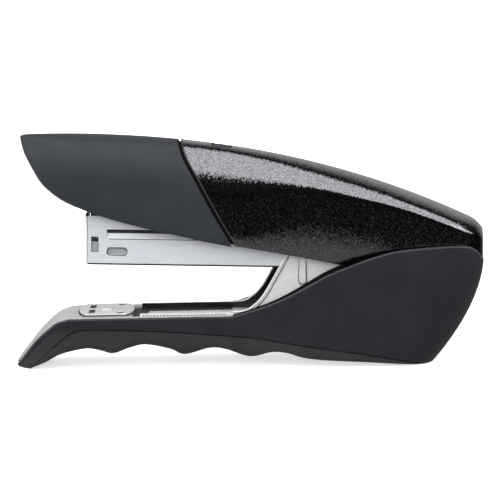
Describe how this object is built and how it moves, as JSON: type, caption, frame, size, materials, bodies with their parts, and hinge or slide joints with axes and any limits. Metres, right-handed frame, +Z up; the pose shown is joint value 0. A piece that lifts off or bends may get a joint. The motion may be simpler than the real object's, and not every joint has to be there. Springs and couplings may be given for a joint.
{
  "type": "stapler",
  "caption": "Hand-held half-strip stapler with push-button release, front-loading staple drawer, waved soft grip and turning anvil plate.",
  "frame": {"origin": "middle of the bounding box in X and Y, on the plane that the handle's tip and heel rest on", "axes": "+X from the nose towards the heel, +Y across, +Z up"},
  "size_m": [0.1596, 0.0328, 0.0794],
  "materials": {
    "shell_plastic": "matt moulded charcoal",
    "nose_plastic": "soft-touch charcoal",
    "cover_gloss": "glossy black with metallic sparkle",
    "grip_rubber": "fine-grained soft grip",
    "trim_steel": "satin",
    "chassis_steel": "satin",
    "anvil_steel": "fine satin",
    "magazine_chrome": "bright plated",
    "drawer_chrome": "bright plated",
    "staple_wire": "zinc-bright wire",
    "blade_steel": "ground",
    "spring_steel": "drawn wire",
    "fastener_steel": "zinc plated",
    "pusher_plastic": "acetal"
  },
  "bodies": {
    "base": {"base_shell": "shell_plastic", "grip_insert": "grip_rubber", "base_trim": "trim_steel", "chassis": "chassis_steel", "chassis_screw_1": "fastener_steel", "chassis_screw_2": "fastener_steel", "anvil_rivet": "anvil_steel", "anvil_washer": "spring_steel", "pivot_pin": "fastener_steel", "pivot_clip": "spring_steel", "return_spring": "spring_steel"},
    "anvil": {"anvil_plate": "anvil_steel"},
    "magazine": {"magazine_channel": "magazine_chrome", "latch_leaf": "spring_steel", "spring_bridge": "chassis_steel", "lift_spring": "spring_steel"},
    "drawer": {"drawer_frame": "drawer_chrome", "staple_rail": "chassis_steel", "guide_rod": "fastener_steel", "staple_strip": "staple_wire", "pusher_spring": "spring_steel"},
    "pusher": {"pusher": "pusher_plastic"},
    "arm": {"arm_frame": "chassis_steel", "driver_blade": "blade_steel", "driver_rivet_1": "fastener_steel", "driver_rivet_2": "fastener_steel", "nose_cover": "nose_plastic", "rear_cover": "cover_gloss", "nose_screw": "fastener_steel", "rear_screw_1": "fastener_steel", "rear_screw_2": "fastener_steel", "button_spring": "spring_steel"},
    "button": {"release_button": "nose_plastic"}
  },
  "joints": [
    {"name": "magazine_close", "type": "hinge", "parent": "base", "child": "magazine", "pos_m": [0.062, 0, 0.032], "axis": [0, -1, 0], "range_deg": [0, 8], "stiffness_Nm_per_rad": 0.6, "springref_deg": -34.38, "deforming": ["return_spring"]},
    {"name": "driver_stroke", "type": "hinge", "parent": "magazine", "child": "arm", "pos_m": [0.062, 0, 0.032], "axis": [0, -1, 0], "range_deg": [0, 4], "stiffness_Nm_per_rad": 2, "springref_deg": -22.92, "deforming": ["lift_spring"]},
    {"name": "drawer_slide", "type": "slide", "parent": "magazine", "child": "drawer", "axis": [0.9994, 0, -0.0349], "range_m": [-0.05, 0]},
    {"name": "pusher_slide", "type": "slide", "parent": "drawer", "child": "pusher", "axis": [0.9994, 0, -0.0349], "range_m": [0, 0.044], "stiffness_N_per_m": 40, "springref_m": -0.06, "deforming": ["pusher_spring"]},
    {"name": "button_press", "type": "slide", "parent": "arm", "child": "button", "axis": [0, 0, -1], "range_m": [0, 0.0018], "stiffness_N_per_m": 800, "springref_m": -0.002, "deforming": ["button_spring"]},
    {"name": "anvil_turn", "type": "hinge", "parent": "base", "child": "anvil", "pos_m": [-0.049, 0, 0.0185], "axis": [0, 0, 1], "range_deg": [0, 180]}
  ]
}
